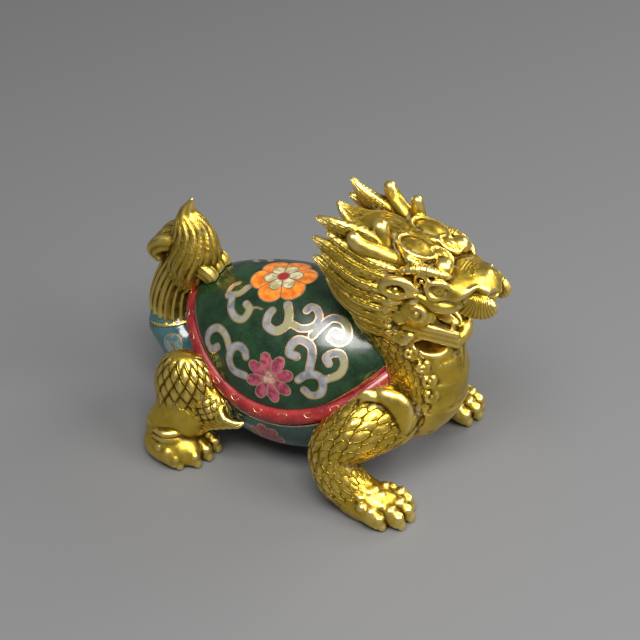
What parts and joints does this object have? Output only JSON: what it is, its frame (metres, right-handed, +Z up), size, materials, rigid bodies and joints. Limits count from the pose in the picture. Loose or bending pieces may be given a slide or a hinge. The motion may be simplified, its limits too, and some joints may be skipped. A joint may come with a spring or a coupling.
{
  "type": "dragon turtle figurine",
  "caption": "Standing dragon turtle ornament with an enamelled domed shell, gilt cast head, legs and an upright bushy tail.",
  "frame": {"origin": "on the surface it stands on, under the middle of the part's outline", "axes": "+X towards the nose, +Y towards the animal's left, +Z up"},
  "size_m": [0.094, 0.064, 0.0721],
  "materials": {
    "carapace_enamel": "glossy",
    "belly_enamel": "glossy",
    "forepart_gilt": "satin",
    "hind_leg_gilt": "satin",
    "tail_gilt": "satin"
  },
  "bodies": {
    "root": {"carapace": "carapace_enamel", "belly": "belly_enamel", "forepart": "forepart_gilt", "hind_leg_right": "hind_leg_gilt", "hind_leg_left": "hind_leg_gilt", "tail": "tail_gilt"}
  },
  "joints": []
}
